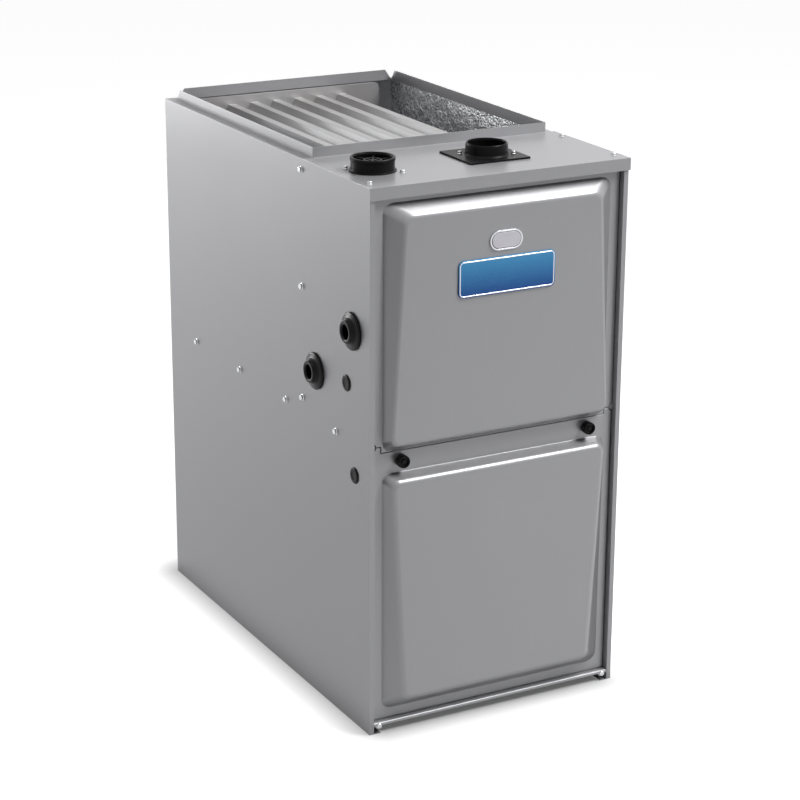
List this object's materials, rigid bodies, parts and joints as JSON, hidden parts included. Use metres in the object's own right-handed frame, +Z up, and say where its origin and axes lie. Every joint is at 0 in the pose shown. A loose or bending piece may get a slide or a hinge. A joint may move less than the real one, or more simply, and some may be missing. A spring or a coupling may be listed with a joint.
{
  "type": "forced air gas furnace",
  "caption": "Upright forced air gas furnace: sheet metal cabinet with two lift-off doors, duct opening on top, vent and air intake collars, and a blower, burners and heat exchanger inside.",
  "frame": {"origin": "on the floor under the middle of the cabinet", "axes": "+X to the right across the front, +Y from the front to the back, +Z up"},
  "size_m": [0.4677, 0.7635, 0.8895],
  "materials": {
    "cabinet_paint": "semi-gloss silver grey paint",
    "galvanised_steel": "galvanised, with a fine spangle",
    "insulation_foil": "crinkled foil facing on glass wool",
    "aluminised_steel": "aluminised, lightly heat tinted",
    "coil_aluminium": "satin",
    "black_plastic": "moulded, semi-gloss",
    "black_rubber": "matte",
    "bright_trim": "bright satin",
    "sight_lens": "milky, polished",
    "badge_face": "blue with a silver border",
    "black_pipe": "dark iron pipe",
    "valve_casting": "cast",
    "ceramic_body": "unglazed",
    "pale_plastic": "moulded",
    "shaft_steel": "ground",
    "motor_paint": "dark satin paint",
    "circuit_board": "green board with black relays",
    "red_button": "moulded",
    "white_plunger": "moulded"
  },
  "bodies": {
    "cabinet": {"left_side_panel": "cabinet_paint", "right_side_panel": "cabinet_paint", "back_panel": "cabinet_paint", "front_base_rail": "cabinet_paint", "top_cover": "cabinet_paint", "base_pan": "galvanised_steel", "blower_deck": "galvanised_steel", "vest_panel": "galvanised_steel", "hot_collector_box": "galvanised_steel", "inducer_motor": "galvanised_steel", "blower_housing": "galvanised_steel", "motor_band": "galvanised_steel", "control_panel": "galvanised_steel", "left_side_insulation": "insulation_foil", "right_side_insulation": "insulation_foil", "heat_tube_1": "aluminised_steel", "heat_tube_2": "aluminised_steel", "heat_tube_3": "aluminised_steel", "heat_exchanger_baffle": "aluminised_steel", "burner_box": "aluminised_steel", "burner_set": "aluminised_steel", "condensing_coil": "coil_aluminium", "upper_hole_plug": "black_plastic", "lower_hole_plug": "black_plastic", "upper_right_cover_plug": "black_plastic", "lower_right_cover_plug": "black_plastic", "intake_collar": "black_plastic", "exhaust_collar": "black_plastic", "drain_collector_box": "black_plastic", "inducer_housing": "black_plastic", "rollout_switch": "black_plastic", "limit_switch": "black_plastic", "door_switch": "black_plastic", "pressure_switch": "black_plastic", "upper_pipe_grommet": "black_rubber", "lower_pipe_grommet": "black_rubber", "gas_manifold": "black_pipe", "gas_valve": "valve_casting", "flame_sensor": "ceramic_body", "hot_surface_igniter": "ceramic_body", "vent_pipe": "pale_plastic", "condensate_trap": "pale_plastic", "blower_motor": "motor_paint", "transformer": "motor_paint", "control_board": "circuit_board"},
    "upper_door": {"upper_door": "cabinet_paint", "sight_glass_ring": "bright_trim", "sight_glass": "sight_lens", "badge_plate": "badge_face"},
    "lower_door": {"lower_door": "cabinet_paint"},
    "left_thumb_screw": {"left_thumb_screw": "black_plastic"},
    "right_thumb_screw": {"right_thumb_screw": "black_plastic"},
    "blower_rotor": {"blower_wheel": "galvanised_steel", "blower_shaft": "shaft_steel"},
    "inducer_rotor": {"inducer_wheel": "black_plastic", "inducer_shaft": "shaft_steel", "cooling_fan": "coil_aluminium"},
    "gas_valve_knob": {"gas_valve_knob": "black_plastic"},
    "rollout_reset_button": {"rollout_reset_button": "red_button"},
    "door_switch_plunger": {"door_switch_plunger": "white_plunger"}
  },
  "joints": [
    {"name": "upper_door_lift_off", "type": "slide", "parent": "cabinet", "child": "upper_door", "axis": [0, -1, 0], "range_m": [0, 0.2]},
    {"name": "lower_door_lift_off", "type": "slide", "parent": "cabinet", "child": "lower_door", "axis": [0, -1, 0], "range_m": [0, 0.2]},
    {"name": "left_thumb_screw_turn", "type": "hinge", "parent": "lower_door", "child": "left_thumb_screw", "pos_m": [-0.165, -0.36465, 0.442], "axis": [0, 1, 0], "continuous": true},
    {"name": "right_thumb_screw_turn", "type": "hinge", "parent": "lower_door", "child": "right_thumb_screw", "pos_m": [0.165, -0.36465, 0.442], "axis": [0, 1, 0], "continuous": true},
    {"name": "blower_spin", "type": "hinge", "parent": "cabinet", "child": "blower_rotor", "pos_m": [0, 0.08, 0.25], "axis": [1, 0, 0], "continuous": true},
    {"name": "inducer_spin", "type": "hinge", "parent": "cabinet", "child": "inducer_rotor", "pos_m": [-0.002, -0.2633, 0.545], "axis": [0, 1, 0], "continuous": true},
    {"name": "gas_valve_knob_turn", "type": "hinge", "parent": "cabinet", "child": "gas_valve_knob", "pos_m": [-0.17, -0.252, 0.7217], "axis": [0, 1, 0], "range_deg": [0, 90]},
    {"name": "rollout_reset_push", "type": "slide", "parent": "cabinet", "child": "rollout_reset_button", "axis": [0, 0, -1], "range_m": [0, 0.002], "stiffness_N_per_m": 300, "springref_m": -0.002},
    {"name": "door_switch_push", "type": "slide", "parent": "cabinet", "child": "door_switch_plunger", "axis": [0, 1, 0], "range_m": [0, 0.002], "stiffness_N_per_m": 300, "springref_m": -0.004}
  ]
}
